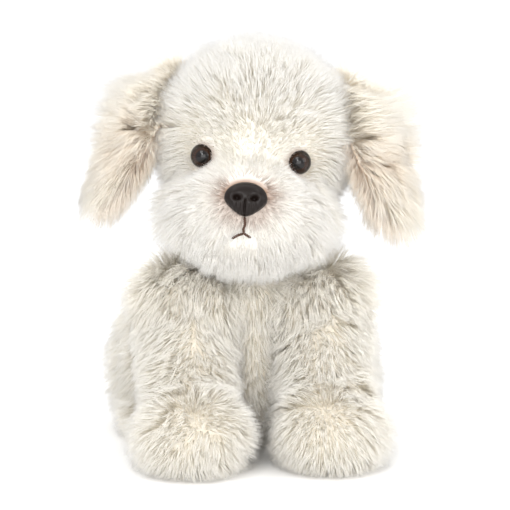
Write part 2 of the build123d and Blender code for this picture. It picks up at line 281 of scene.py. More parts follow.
def in_head(points):
    """Points in the head's own axes, in millimetres from the neck."""
    return (points - HEAD_AT) @ HEAD.T / MM


def from_head(vectors):
    """Directions given in the head's own axes, in the row frame."""
    return vectors @ HEAD


def middle(node):
    """The middle of a CAD node's box."""
    low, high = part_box(node)
    return np.array((low + high) / 2, float)


# --- stuffed skins

SKINS = {
    "torso": ["body_side_left", "body_side_right", "chest_panel", "seat_panel"],
    "neck": ["neck_tube"],
    "head": ["head_gusset", "head_side_left", "head_side_right", "muzzle_panel", "chin_panel"],
    "ear_left": ["ear_left_outer", "ear_left_inner"],
    "ear_right": ["ear_right_outer", "ear_right_inner"],
    "front_leg_left": ["front_leg_left_skin", "front_leg_left_sole"],
    "front_leg_right": ["front_leg_right_skin", "front_leg_right_sole"],
    "hind_leg_left": ["hind_leg_left_skin", "hind_leg_left_sole"],
    "hind_leg_right": ["hind_leg_right_skin", "hind_leg_right_sole"],
    "tail": ["tail_skin"],
}
VOXEL_MM = 3.2
FINER_VOXEL_MM = {"ear_left": 1.6, "ear_right": 1.6, "tail": 2.0}
EASE_STEPS, SETTLE_STEPS = 6, 3  # smoothing after the remesh, and after the stuffing
SLACK = 0.5 * MM  # how far inside its CAD skin a cover starts
SWELL = 1.6 * MM  # how far the stuffing may push it
PRESSURE = 4.0
CLOTH_FRAMES = 12
FLOOR_GAP = 0.1 * MM
LINED_BELOW = -0.2  # an ear's face is lined where it turns this far towards the head
MOST_ROUNDS = 200  # of passing the lowest number on, to find what is joined


def outer_island(points, triangles):
    """Only the surface with the largest box, of several closed ones."""
    parent = np.arange(len(points))
    for _ in range(MOST_ROUNDS):
        low = parent[triangles].min(axis=1)
        before = parent.copy()
        for corner in range(3):
            np.minimum.at(parent, triangles[:, corner], low)
        parent = parent[parent]
        if np.array_equal(before, parent):
            break

    def room(root):
        return np.ptp(points[parent == root], axis=0).prod()

    best = max(np.unique(parent[triangles[:, 0]]), key=room)
    keep = triangles[parent[triangles[:, 0]] == best]
    used, renumbered = np.unique(keep, return_inverse=True)
    return points[used], renumbered.reshape(-1, 3)


def cover(body, nodes):
    """One closed cover over a body's panels, a little inside them."""
    points, triangles, count = [], [], 0
    for node in nodes:
        p, t, _ = read_mesh(frame["nodes"][node].data)
        points.append(p)
        triangles.append(t + count)
        count += len(p)
    mesh = triangle_mesh(body, np.vstack(points), np.vstack(triangles))
    piece = place(body + "_cover", mesh)
    remesh = piece.modifiers.new("skin", "REMESH")
    remesh.mode = "VOXEL"
    remesh.voxel_size = FINER_VOXEL_MM.get(body, VOXEL_MM) * MM
    baked(piece)
    p, t, _ = read_mesh(piece.data)
    p, t = outer_island(p, t)
    piece.data = triangle_mesh(body, p, t)
    smooth = piece.modifiers.new("ease", "SMOOTH")
    smooth.factor = 0.5
    smooth.iterations = EASE_STEPS
    baked(piece)
    p, t, n = read_mesh(piece.data)
    piece.data = triangle_mesh(body, p - n * SLACK, t)
    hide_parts(*nodes)
    return piece


def stuff(covers):
    """Pressure swells every cover at once, and no point moves further than SWELL."""
    scene = bpy.context.scene
    before = {}
    for piece in covers.values():
        before[piece.name] = read_mesh(piece.data)[0]
        cloth = piece.modifiers.new("stuffing", "CLOTH")
        cloth.settings.use_pressure = True
        cloth.settings.uniform_pressure_force = PRESSURE
        cloth.settings.effector_weights.gravity = 0.0
        cloth.settings.quality = 4
    for step in range(1, CLOTH_FRAMES + 1):
        scene.frame_set(step)
    depsgraph = bpy.context.evaluated_depsgraph_get()
    swollen = {
        piece.name: bpy.data.meshes.new_from_object(piece.evaluated_get(depsgraph))
        for piece in covers.values()
    }
    scene.frame_set(1)
    for piece in covers.values():
        start = before[piece.name]
        end, triangles, _ = read_mesh(swollen[piece.name])
        moved = end - start
        far = np.linalg.norm(moved, axis=1, keepdims=True)
        moved *= np.minimum(1, SWELL / np.maximum(far, 1e-9))
        piece.modifiers.clear()
        piece.data = triangle_mesh(piece.name, start + moved, triangles)
        settle = piece.modifiers.new("settle", "SMOOTH")
        settle.iterations = SETTLE_STEPS
        baked(piece)


covers = {body: cover(body, nodes) for body, nodes in SKINS.items()}
stuff(covers)
surface = {}
for body, piece in covers.items():
    points, triangles, normals = read_mesh(piece.data)
    points[:, 2] = np.maximum(points[:, 2], FLOOR_GAP)
    piece.data = triangle_mesh(piece.name, points, triangles)
    surface[body] = read_mesh(piece.data)
    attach(piece, body)
    wear(piece, BACKING)

# The ears' inner faces are lined.
for side in ("left", "right"):
    piece = covers["ear_" + side]
    wear(piece, BACKING, LINING)
    outward = np.sign(middle(f"ear_{side}_outer")[0] - middle("head_filling")[0])
    inner = np.zeros(len(piece.data.polygons), np.int32)
    facing = values_of(piece.data.polygons, "normal")
    inner[facing[:, 0] * outward < LINED_BELOW] = 1
    piece.data.polygons.foreach_set("material_index", inner)

trees = {
    body: BVHTree.FromPolygons([Vector(p) for p in points], triangles.tolist())
    for body, (points, triangles, _) in surface.items()
}


# --- pile

# A fibre is a closed three-sided tube: a ring at its root, one at its middle, a pointed tip.
SIDES_OF_FIBRE = 3
RINGS = np.array([0.0, 0.55])  # shares of its length
RING_WIDTH = np.array([1.0, 0.82])
WIDTH_FROM, WIDTH_TO = 0.75, 1.2
LENGTH_FROM, LENGTH_TO = 0.8, 1.08
ROOT_DEPTH = 0.4 * MM  # how far under the cover a fibre starts
MOST_FIBRES = 19000  # in one piece

ROOM_SHARE, ROOM = 0.03, 9.0 * MM  # how far pile may stand out of the CAD box
SHORTEST = 0.2  # the least share of a fibre's length that is left by that
LYING, LYING_DEPTH = 0.4 * MM, 0.8 * MM  # where fibres lie that reach the floor

SAMPLE, FEWEST_SEEDS = 400, 3  # roots that are counted round, and locks or tufts in a stretch
DISC, TURN = 3.14, 6.28
WAVE, WAVES = 0.045, 5.0  # a fibre's own crimp: its share of the length, and its angle at the tip
TINT_SPREAD = 0.018
BRIGHTEST = 0.98
UV_MARGIN = 0.1
TINT_CURVE = 0.8


def evenly(tint, rows):
    """One tint, once for each row."""
    return np.repeat(tint[None], len(rows), 0)


def scatter(body, per_mm2, keep):
    """Random roots on a body's cover, where keep(points, normals) is more than a random number."""
    points, triangles, normals = surface[body]
    a, b, c = (points[triangles[:, i]] for i in range(3))
    area = np.linalg.norm(np.cross(b - a, c - a), axis=1) / 2 / MM**2
    count = rng.poisson(area * per_mm2)
    which = np.repeat(np.arange(len(triangles)), count)
    u, v = rng.random((2, len(which)))
    flip = u + v > 1
    u[flip], v[flip] = 1 - u[flip], 1 - v[flip]
    weights = np.stack([1 - u - v, u, v], axis=1)[:, :, None]
    roots = (points[triangles[which]] * weights).sum(1)
    facing = unit((normals[triangles[which]] * weights).sum(1))
    share = keep(roots, facing)
    kept = rng.random(len(roots)) < share
    return roots[kept], facing[kept]


def clear_of(roots, others, gap):
    """Which roots stand at least a gap away from other bodies' covers."""
    clear = np.ones(len(roots), bool)
    for other in others:
        tree = trees[other]
        for i, root in enumerate(roots):
            if clear[i] and tree.find_nearest(Vector(root), gap)[0] is not None:
                clear[i] = False
    return clear


def rooted(body, per_mm2, keep, others, gap):
    """Roots and their normals for a body's pile, clear of other bodies' covers."""
    roots, normals = scatter(body, per_mm2 * DENSITY, keep)
    clear = clear_of(roots, others, gap)
    return roots[clear], normals[clear]


def nearest(points, seeds):
    """The index of the seed nearest to each point."""
    tree = KDTree(len(seeds))
    for i, seed in enumerate(seeds):
        tree.insert(seed, i)
    tree.balance()
    return np.array([tree.find(p)[1] for p in points])


def fibre_paths(
    roots, normals, comb, length, rise, droop, lock_mm, tuft_mm, unruly, gather, uneven
):
    """Each fibre's points: it leaves the skin, bends along the comb, and gathers with its tuft
    and its lock."""
    number = len(roots)
    s = np.append(RINGS, 1.0)[None, :, None]

    def curve(start, first, last, size):
        bend = first[:, None] * s + (last - first)[:, None] * s**2 / 2
        return start[:, None] + size[:, None, None] * bend

    def pick(spacing):
        """Seeds about a spacing apart, from the roots' own density."""
        sample = roots[rng.choice(number, min(number, SAMPLE), replace=False)]
        tree = KDTree(number)
        for i, root in enumerate(roots):
            tree.insert(root, i)
        tree.balance()
        near = np.mean([len(tree.find_range(p, spacing * MM)) for p in sample])
        seeds = max(FEWEST_SEEDS, int(number / max(near / DISC, 1.0)))
        return rng.choice(number, seeds, replace=False)

    locks, tufts = pick(lock_mm), pick(tuft_mm)
    in_lock, in_tuft = nearest(roots, roots[locks]), nearest(roots, roots[tufts])
    lock_noise = rng.normal(0, unruly, (len(locks), 3))
    lock_size = rng.uniform(1 - uneven, 1 + uneven, len(locks))
    tuft_noise = rng.normal(0, unruly * 0.40, (len(tufts), 3))
    own_noise = rng.normal(0, unruly * 0.35, (number, 3))
    bent = lock_noise[in_lock] + tuft_noise[in_tuft] + own_noise
    size = length * lock_size[in_lock] * rng.uniform(LENGTH_FROM, LENGTH_TO, number)

    first = unit(normals * rise[:, None] + comb * (1 - rise)[:, None] + bent * 0.5)
    last = normals * rise[:, None] * 0.85 + comb * (1.2 - rise)[:, None]
    last = unit(last + bent - UP * droop[:, None])
    path = curve(roots, first, last, size)
    for members, seeds, power in ((in_tuft, tufts, gather), (in_lock, locks, gather * 0.55)):
        chief = seeds[members]
        guide = curve(roots[chief], first[chief], last[chief], size)
        path += (guide - path) * (power * s**1.5)
    phase = rng.uniform(0, TURN, len(tufts))[in_tuft]
    sideways = unit(np.cross(first, rng.normal(0, 1, (len(tufts), 3))[in_tuft]))
    wave = np.sin(phase[:, None, None] + s * WAVES) * s * WAVE
    path += sideways[:, None] * wave * size[:, None, None]
    return path


def within_room(path):
    """Fibres that would stand too far out of the CAD box are shortened about their roots."""
    low, high = (np.array(corner, float) for corner in cad_box)
    room = (high - low) * ROOM_SHARE + ROOM
    root = path[:, :1]
    reach = path - root
    spare = np.where(reach > 0, high + room - root, root - (low - room))
    share = np.min(spare / np.maximum(np.abs(reach), 1e-9), axis=(1, 2))
    return root + reach * np.clip(share, SHORTEST, 1.0)[:, None, None]


def out_of_floor(path):
    """Fibres that reach the floor lie along it."""
    low = path[:, :, 2] < LYING
    lying = LYING + rng.random(path.shape[:2]) * LYING_DEPTH
    path[:, :, 2] = np.where(low, lying, path[:, :, 2])
    return path


def fibre_mesh(name, path, width, root_tint, tip_tint):
    """Closed fibres that taper to a point, each with a tint from root to tip."""
    number, rings, sides = len(path), len(RINGS), SIDES_OF_FIBRE
    along = unit(np.gradient(path, axis=1))
    across = unit(np.cross(along, rng.normal(0, 1, (number, 1, 3))))
    other = np.cross(along, across)
    turns = np.arange(sides) * 2 * math.pi / sides
    radius = width[:, None] * RING_WIDTH[None, :] / 2
    rim = (
        across[:, :rings, None] * np.cos(turns)[None, None, :, None]
        + other[:, :rings, None] * np.sin(turns)[None, None, :, None]
    ) * radius[:, :, None, None]
    corners = (path[:, :rings, None] + rim).reshape(number, rings * sides, 3)
    points = np.concatenate([corners, path[:, -1:]], axis=1)
    per = points.shape[1]

    # One fibre's triangles, and where each corner lies in the fibre's own square of the UV map
    faces, cells = [(2, 1, 0)], [((0, 0), (0.5, 0), (1, 0))]
    for ring in range(rings - 1):
        for side in range(sides):
            a, b = ring * sides + side, ring * sides + (side + 1) % sides
            left, right = side / sides, (side + 1) / sides
            low, high = RINGS[ring], RINGS[ring + 1]
            faces += [(a, b, b + sides), (a, b + sides, a + sides)]
            cells += [
                ((left, low), (right, low), (right, high)),
                ((left, low), (right, high), (left, high)),
            ]
    for side in range(sides):
        a, b = (rings - 1) * sides + side, (rings - 1) * sides + (side + 1) % sides
        left, right, mid = side / sides, (side + 1) / sides, (side + 0.5) / sides
        faces.append((a, b, per - 1))
        cells.append(((left, RINGS[-1]), (right, RINGS[-1]), (mid, 1)))
    faces, cells = np.array(faces), np.array(cells)
    triangles = (faces[None] + (np.arange(number) * per)[:, None, None]).reshape(-1, 3)
    mesh = triangle_mesh(name, points.reshape(-1, 3), triangles)

    share = np.append(np.repeat(RINGS, sides), 1.0) ** TINT_CURVE
    tint = root_tint[:, None] + (tip_tint - root_tint)[:, None] * share[None, :, None]
    rgba = np.concatenate([tint, np.ones((number, per, 1))], axis=2).astype(np.float32)
    layer = mesh.color_attributes.new("tint", "FLOAT_COLOR", "POINT")
    layer.data.foreach_set("color", rgba.ravel())

    columns = int(math.ceil(math.sqrt(number)))
    cell = np.stack([np.arange(number) % columns, np.arange(number) // columns], axis=1)
    inset = UV_MARGIN + (1 - 2 * UV_MARGIN) * cells.reshape(1, -1, 2)
    spots = (cell[:, None] + inset) / columns
    uv = mesh.uv_layers.new(name="OFBake")
    uv.data.foreach_set("uv", spots.astype(np.float32).ravel())
    mesh.materials.append(PILE)
    return mesh


def grow(
    name, body, slot, roots, normals, comb, length, rise, droop, root_tint, tip_tint, width, **habit
):
    """Fibres for one stretch of a body, in as many pieces as their number needs. Lengths and
    widths are in mm."""
    comb = flat_to(comb, normals)
    strength = np.minimum(np.linalg.norm(comb, axis=1, keepdims=True), 1)
    comb = unit(comb) * strength
    start = roots - normals * ROOT_DEPTH
    path = fibre_paths(start, normals, comb, length * MM, rise, droop, **habit)
    path = out_of_floor(within_room(path))
    shade = rng.normal(1, TINT_SPREAD, (len(roots), 1))
    root_tint = np.clip(root_tint * shade, 0, BRIGHTEST)
    tip_tint = np.clip(tip_tint * shade, 0, BRIGHTEST)
    widths = width * MM * rng.uniform(WIDTH_FROM, WIDTH_TO, len(roots))
    parts = max(1, math.ceil(len(roots) / MOST_FIBRES))
    order = np.argsort(roots[:, 2], kind="stable") if parts > 1 else np.arange(len(roots))
    for number, chosen in enumerate(np.array_split(order, parts)):
        label = f"{name}_{number + 1}" if parts > 1 else name
        mesh = fibre_mesh(
            label, path[chosen], widths[chosen], root_tint[chosen], tip_tint[chosen]
        )
        piece = place(label, mesh)
        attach(piece, body)


def grow_kinds(body, kinds, *fibres):
    """A body's pile in several kinds, each with its name, slot, mask and habit; the slot is not used."""
    for name, slot, mask, habit in kinds:
        grow(name, body, slot, *(of[mask] for of in fibres), **habit)


# Tints, as linear reflectances
WHITE_TIP = np.array([0.965, 0.95, 0.92])
WARM_TIP = np.array([0.96, 0.93, 0.87])
COOL_TIP = np.array([0.905, 0.898, 0.885])
# Painted shade: fibres are warmer and yellower at the root than at the tip, so the shaded gaps deep in the pile
# come out warm cream
PAINTED_ROOT_SHADE = np.array([0.965, 0.915, 0.80])
PEACH = np.array([0.945, 0.86, 0.765])
TAN = np.array([0.83, 0.64, 0.47])
BROWN = np.array([0.26, 0.115, 0.045])
# The muzzle's roots are paler: less painted shade there
MUZZLE_ROOT = np.array([0.95, 0.92, 0.87])
HEAD_CLOTH = np.array([0.88, 0.83, 0.74])
MUZZLE_CLOTH = np.array([0.94, 0.92, 0.87])

# Fibres for each square millimetre of cover
DENSITY = 1.0
PER_MM2 = {
    "head": 2.0, "ear": 3.0, "torso": 1.0, "neck": 1.3,
    "front_leg": 1.4, "hind_leg": 1.0, "tail": 1.5,
}
# How thick fibres are, how far apart locks and tufts stand, how wild they are, how strongly
# fibres gather in them, and how much locks differ in length
HABIT = ("width", "lock_mm", "tuft_mm", "unruly", "gather", "uneven")
MUZZLE_HABIT = dict(zip(HABIT, (0.20, 7.0, 1.6, 0.11, 0.10, 0.15)))
HEAD_HABIT = dict(zip(HABIT, (0.23, 11.0, 1.6, 0.12, 0.06, 0.06)))
EAR_HABIT = dict(zip(HABIT, (0.23, 12.0, 1.8, 0.17, 0.10, 0.10)))
BODY_HABIT = dict(zip(HABIT, (0.26, 14.0, 1.9, 0.16, 0.11, 0.09)))
# How far pile keeps from the covers of other bodies, in metres
CLEAR_OF_NECK, CLEAR_OF_HEAD, CLEAR_OF_BODY = 1.6 * MM, 1.0 * MM, 2.2 * MM


def button_front(node, depth):
    """The middle of a plastic button's front, in the head's own axes, without its stem."""
    q = in_head(read_mesh(frame["nodes"][node].data)[0])
    front = q[q[:, 1] < q[:, 1].min() + depth]
    return (front.min(0) + front.max(0)) / 2


EYE_DEPTH, NOSE_DEPTH = 5.0, 8.0  # mm of each button that lie in front of its stem
EYES = [button_front("eye_" + side, EYE_DEPTH) for side in ("left", "right")]
NOSE_AT = button_front("nose", NOSE_DEPTH)
NOSE_TILT = math.radians(24.0)
NOSE_OUT = np.array([0.0, -math.cos(NOSE_TILT), math.sin(NOSE_TILT)])
NOSE_UP = np.array([0.0, math.sin(NOSE_TILT), math.cos(NOSE_TILT)])

# Where pile starts round the nose, and the brown halo: half width, half height and depth in mm
BARE_OVAL, HALO_OVAL = (12.0, 9.6, 9.0), (12.5, 10.2, 15.0)
BACK_OF_NOSE, BACK_OF_HALO = 5.0, 5.0
HALO_FADE, HALO_BELOW, HALO_ABOVE = 0.36, 0.5, 0.9
CORNER_AT, CORNER_FADE = (6.0, 1.5, -3.0), 4.6  # from an eye's middle, outward
EYE_EDGE, EYE_FADE, EYE_STAIN = 7.0, 1.6, 0.45


def stain_at(q):
    """For points in the head's own axes: how many of the nose's ovals away they are, and how brown
    the airbrush made them, round the nose and by the eyes."""
    from_nose = q - NOSE_AT
    up = from_nose @ NOSE_UP
    behind = np.maximum(-(from_nose @ NOSE_OUT) - BACK_OF_NOSE, 0)

    def ovals_away(behind, oval):
        return np.linalg.norm(np.stack([q[:, 0], up, behind], axis=1) / oval, axis=1)

    far = ovals_away(behind, BARE_OVAL)
    ring = ovals_away(np.maximum(behind - BACK_OF_HALO, 0), HALO_OVAL)
    strength = mix(HALO_BELOW, HALO_ABOVE, ramp(from_nose[:, 2], -8, 2))
    halo = np.exp(-((np.maximum(ring - 1.0, 0) / HALO_FADE) ** 2)) * strength
    corner = np.zeros(len(q))
    for eye in EYES:
        outer = eye + np.array([np.sign(eye[0]), 1, 1]) * CORNER_AT
        away = np.linalg.norm(q - outer, axis=1)
        corner = np.maximum(corner, np.exp(-((away / CORNER_FADE) ** 2)))
        past = np.maximum(np.linalg.norm(q - eye, axis=1) - EYE_EDGE, 0)
        corner = np.maximum(corner, np.exp(-((past / EYE_FADE) ** 2)) * EYE_STAIN)
    return far, np.clip(halo + corner, 0, 1)


FORK_SHARE = 0.62  # how far down the stitching its fork is


def mouth_box():
    """The top, fork, foot and half width of the mouth's stitching, in the head's own axes."""
    q = in_head(read_mesh(frame["nodes"]["mouth_stitching"].data)[0])
    top, bottom = q[:, 2].max(), q[:, 2].min()
    return top, top - (top - bottom) * FORK_SHARE, bottom, np.abs(q[:, 0]).max()


def from_mouth(x, z):
    """How far points are from the mouth's stitches, seen from in front."""
    top, fork, bottom, half = mouth_box()
    least = np.full(len(x), np.inf)
    for x0, z0, x1, z1 in ((0, top, 0, fork), (0, fork, half, bottom), (0, fork, -half, bottom)):
        run = np.array([x1 - x0, z1 - z0])
        t = np.clip(((x - x0) * run[0] + (z - z0) * run[1]) / (run @ run), 0, 1)
        least = np.minimum(least, np.hypot(x - x0 - t * run[0], z - z0 - t * run[1]))
    return least


# Lengths of pile in mm
FACE, MUZZLE, CHIN, TEMPLE, CROWN, CHEEK, BRIDGE = 13.5, 11.0, 14.0, 16.5, 15.0, 25.0, 6.5
BY_EYE, BY_NOSE, BY_MOUTH = 2.8, 3.6, 2.6
BALD_ROUND_EYE = 5.9
BALD_UNDER_NOSE = (10.6, 8.6, 22.0)  # half width, half height, depth
HIDDEN_SHARE = 0.1  # of the pile is left where the head sits on the neck
STAINED_TIP, STAINED_TIP_BRIGHTNESS = 0.92, 1.25
# Painted shade: the tips of short pile are painted up to this much darker, as short pile shades itself less than
# long pile
SHORT_PILE_SHADE = 0.17


def head_pile():
    """The crown, cheeks, muzzle and chin: fibres fan out from the nose, and up and out above it."""

    def keep(points, normals):
        q = in_head(points)
        n = normals @ HEAD.T
        share = np.ones(len(q))
        for eye in EYES:
            share[np.linalg.norm((q - eye) * [1.0, 0.35, 1.0], axis=1) < BALD_ROUND_EYE] = 0
        wide, high, deep = BALD_UNDER_NOSE
        on_nose = np.hypot(q[:, 0] / wide, (q[:, 2] - NOSE_AT[2]) / high) < 1
        share[on_nose & (q[:, 1] < NOSE_AT[1] + deep)] = 0
        hidden = (np.hypot(q[:, 0], q[:, 1]) < 30) & (q[:, 2] < 0) & (np.abs(n[:, 2]) < 0.6)
        share[hidden & (q[:, 1] > -34)] = HIDDEN_SHARE
        return share

    roots, normals = rooted("head", PER_MM2["head"], keep, ["neck"], CLEAR_OF_NECK)

    # How much each root belongs to each region, from where it is in the head's own axes
    q = in_head(roots)
    x, y, z = q.T
    muzzle = ramp(-y, 38, 52) * ramp(-z, -38, -26)
    crown = ramp(z, 44, 70)
    back = ramp(y, -5, 20)
    chin = ramp(-z, 2, 18) * ramp(-y, 15, 35)
    side = ramp(np.abs(x), 28, 44)
    bridge = ramp(-np.abs(x), -24, -10) * ramp(-y, 34, 44) * ramp(z, 18, 26) * (1 - ramp(z, 44, 56))
    to_eye = np.min([np.linalg.norm(q - eye, axis=1) for eye in EYES], axis=0)
    far, stain = stain_at(q)

    fan = unit((q - NOSE_AT) * [1.0, 0.15, 1.0])
    up_out = unit(np.stack([x * 0.02, np.full_like(x, 0.35), np.ones_like(x)], axis=1))
    down = np.array([0.0, 0.0, -1.0])
    aside = np.sign(q) * [1, 0, 0]
    comb = fan * (muzzle + 0.35)[:, None]
    comb = comb + up_out * (1 - muzzle)[:, None] * ramp(z, 22, 44)[:, None]
    comb += (0.3 * down + aside) * (side * (1 - crown) * 0.9)[:, None]
    comb += down * (muzzle * ramp(-z, -8, 6) * 0.5)[:, None]
    comb += down * (back * (1 - crown) * 1.4)[:, None] + down * (chin * 0.8)[:, None]
    comb = from_head(unit(comb))

    length = mix(FACE, MUZZLE, muzzle)
    length = mix(length, CHIN, chin)
    length = mix(length, TEMPLE, side * (1 - crown))
    length = mix(length, CROWN, crown)
    length = mix(length, CHEEK, side * (1 - ramp(z, 8, 34)))
    length = mix(length, BRIDGE, bridge)
    length = np.minimum(length, BY_EYE + np.maximum(to_eye - EYE_EDGE, 0) * 0.75)
    length = np.minimum(length, BY_NOSE + np.maximum(far - 1.0, 0) * 9.0)
    length = np.minimum(length, BY_MOUTH + from_mouth(x, z) * 0.9 + 50 * (y > -30))
    rise = mix(0.66, 0.50, muzzle)
    rise = mix(rise, 0.72, crown)
    droop = 0.15 + 0.35 * chin + 0.25 * side * (1 - crown)

    # Painted shade: the tips of short pile, as on the bridge, are darkened
    darker = 1 - SHORT_PILE_SHADE * ramp(-length, -10.0, -4.0)
    tip = mix(WHITE_TIP[None], COOL_TIP[None], crown) * darker[:, None]
    root = mix(evenly(PAINTED_ROOT_SHADE, q), MUZZLE_ROOT[None], muzzle)
    tip = mix(tip, evenly(BROWN * STAINED_TIP_BRIGHTNESS, q), stain * STAINED_TIP)
    root = mix(root, evenly(BROWN, q), stain)
    front = muzzle + bridge > 0.5
    kinds = (
        ("muzzle_pile", "muzzle_pile", front, MUZZLE_HABIT),
        ("head_pile", "long_pile", ~front, HEAD_HABIT),
    )
    grow_kinds("head", kinds, roots, normals, comb, length, rise, droop, root, tip)


EAR_TOP, EAR_MAIN, EAR_MIDDLE, EAR_TIP = 17.0, 31.0, 21.0, 31.0
LINING_TOP, LINING_TIP = 13.0, 29.0
OUTER_FACING = -0.35
BLUSH_AT, BLUSH_FADE = 0.62, 0.16  # shares of the ear's length


def ear_pile(side):
    """Long fibres down the outside of an ear and past its edge, and a peach lining inside."""
    body = "ear_" + side
    hinge = joint_point(body + "_lift")
    tip_at = surface[body][0][surface[body][0][:, 2].argmin()]
    down_ear = unit(tip_at - hinge)
    reach = np.linalg.norm(tip_at - hinge) / MM
    through = middle(body + "_outer") - middle(body + "_inner")
    out_way = unit(flat_to(through[None], down_ear[None]))[0]
    everywhere = lambda points, normals: np.ones(len(points))
    roots, normals = rooted(body, PER_MM2["ear"], everywhere, ["head"], CLEAR_OF_HEAD)
    outer = normals @ out_way > OUTER_FACING
    t = (roots - hinge) @ down_ear / MM / reach
    width_way = np.cross(down_ear, out_way)
    if width_way[1] > 0:
        width_way = -width_way
    w = (roots - hinge) @ width_way / MM
    edge = ramp(np.abs(w), 10, 19)

    length = mix(EAR_MAIN, EAR_MIDDLE, ramp(t, 0.25, 0.65))
    length = mix(EAR_TOP, length, ramp(t, 0.0, 0.25))
    length = mix(length, EAR_TIP, ramp(t, 0.7, 1.0))
    length = np.where(outer, length, mix(LINING_TOP, LINING_TIP, ramp(t, 0.45, 1.0)))
    comb = down_ear[None] * mix(0.35, 1.1, ramp(t, 0.3, 0.9))[:, None]
    comb += width_way[None] * (np.sign(w) * edge * 0.9)[:, None] + out_way[None] * 0.1
    rise = np.where(outer, 0.88, 0.80) - 0.34 * ramp(t, 0.55, 1.0)
    droop = mix(0.35, 0.9, ramp(t, 0.5, 0.95))

    tip = np.where(outer[:, None], WARM_TIP[None], PEACH[None] * 1.05)
    root = np.where(outer[:, None], PAINTED_ROOT_SHADE[None] * [1.02, 0.97, 0.9], PEACH[None])
    blush = np.exp(-(((t - BLUSH_AT) / BLUSH_FADE) ** 2)) * mix(0.35, 1.0, ramp(w, -6, 12))
    tip = mix(tip, evenly(PEACH * 1.08, tip), np.clip(blush, 0, 1) * 0.85)
    root = mix(root, evenly(TAN, root), np.clip(blush, 0, 1) * 0.75)
    kinds = (
        (body + "_pile", "long_pile", outer, EAR_HABIT),
        (body + "_lining_pile", "ear_lining", ~outer, EAR_HABIT),
    )
    grow_kinds(body, kinds, roots, normals, comb, length, rise, droop, root, tip)


LEGS = ["front_leg_left", "front_leg_right", "hind_leg_left", "hind_leg_right"]
SOLE_HEIGHT = 1.2 * MM  # no pile grows below this on a face turned to the floor


def body_roots(body, others, kind):
    """Roots and normals over one stuffed body, but not under its sole."""

    def keep(points, normals):
        underneath = (points[:, 2] < SOLE_HEIGHT) & (normals[:, 2] < -0.5)
        return np.where(underneath, 0.0, 1.0)

    return rooted(body, PER_MM2[kind], keep, others, CLEAR_OF_BODY)


def body_pile(body, roots, normals, comb, length, rise, droop):
    """Long pile on those roots, its tips painted warmer higher up, as shade under the head. Any value may be the
    same for all.
    """
    # Painted shade: the tips turn warmer up the chest and neck, which lie in the head's shade
    shade = ramp(roots[:, 2] / MM, 60, 112)
    tip = mix(evenly(WHITE_TIP, roots), WARM_TIP[None], 0.35 + shade * 0.6)
    length, rise, droop = (np.broadcast_to(v, len(roots)) for v in (length, rise, droop))
    grow(
        body + "_pile", body, "long_pile", roots, normals, np.broadcast_to(comb, roots.shape),
        length, rise, droop, evenly(PAINTED_ROOT_SHADE, roots), tip, **BODY_HABIT,
    )


def torso_pile():
    p, n = body_roots("torso", ["neck", *LEGS, "tail"], "torso")
    height = p[:, 2] / MM
    front = ramp(-n[:, 1], 0.2, 0.8)
    length = mix(15.0, 17.5, front * ramp(height, 40, 90)) + 5.0 * ramp(height, 85, 105)
    body_pile("torso", p, n, np.array([0.0, 0.15, -1.0]) + p * [6, 0, 0], length, 0.66, 0.30)


def neck_pile():
    p, n = body_roots("neck", ["torso", "head"], "neck")
    body_pile("neck", p, n, np.array([0.0, 0.0, -1.0]) + 0.3 * n, 25.0, 0.85, 0.35)


def front_leg_pile(side):
    body = "front_leg_" + side
    paw = middle(body + "_sole")
    paw[2] = 24 * MM
    shin = unit(paw - joint_point(body + "_swing"))
    p, n = body_roots(body, ["torso"], "front_leg")

    on_paw = ramp(-((p - paw) @ -shin) / MM, -24, -6)
    radial = unit((p - paw) * [1.0, 1.0, 0.6])
    outside = np.sign(paw[0]) * 0.18
    comb = mix(shin + np.array([outside, -0.1, -0.2]), radial - UP * 0.45, on_paw)
    low = ramp(-p[:, 2] / MM, -46, -26)
    length = mix(mix(17.0, 15.5, low), 25.0, ramp(p[:, 2] / MM, 80, 105))
    body_pile(body, p, n, comb, length, mix(0.70, 0.68, low), mix(0.25, 0.22, low))


def hind_leg_pile(side):
    body = "hind_leg_" + side
    p, n = body_roots(body, ["torso"], "hind_leg")
    comb = np.array([np.sign(p[:, 0].mean()) * 0.15, 0.10, -1.0])
    length = mix(21.0, 14.0, ramp(-p[:, 2] / MM, -30, -10))
    body_pile(body, p, n, comb, length, 0.76, 0.25)


def tail_pile():
    root_at = joint_point("tail_wag")
    tip_at = surface["tail"][0][surface["tail"][0][:, 2].argmax()]
    along = unit(tip_at - root_at)
    p, n = body_roots("tail", ["torso"], "tail")
    t = (p - root_at) @ along / np.linalg.norm(tip_at - root_at)
    body_pile("tail", p, n, along, mix(10.0, 13.0, ramp(t, 0.2, 0.9)), 0.55, 0.15)


def stain_backing():
    """The head's cloth takes the same airbrush as its pile."""
    points = surface["head"][0]
    q = in_head(points)
    front = ramp(-q[:, 1], 38, 52)[:, None]
    tint = HEAD_CLOTH[None] * (1 - front) + MUZZLE_CLOTH[None] * front
    tint = mix(tint, evenly(BROWN, q), stain_at(q)[1])
    rgba = np.concatenate([tint, np.ones((len(q), 1))], axis=1).astype(np.float32)
    layer = covers["head"].data.color_attributes.new("tint", "FLOAT_COLOR", "POINT")
    layer.data.foreach_set("color", rgba.ravel())
    wear(covers["head"], PILE)


stain_backing()
head_pile()
for side in ("left", "right"):
    ear_pile(side)
    front_leg_pile(side)
    hind_leg_pile(side)
torso_pile()
neck_pile()
tail_pile()

# --- materials of the CAD nodes

FINISHES = {
    "stuffing": STUFFING,
    "pouch_cloth": POUCH,
    "pellets": BEADS,
    "label_ribbon": RIBBON,
    "washer_plastic": WASHERS,
    "mouth_thread": THREAD,
    "nose_plastic": NOSE,
}
for entry in frame["record"]["subparts"]:
    finish = FINISHES.get(entry["material_slot"])
    if finish is not None:
        wear(frame["nodes"][entry["node"]], finish)


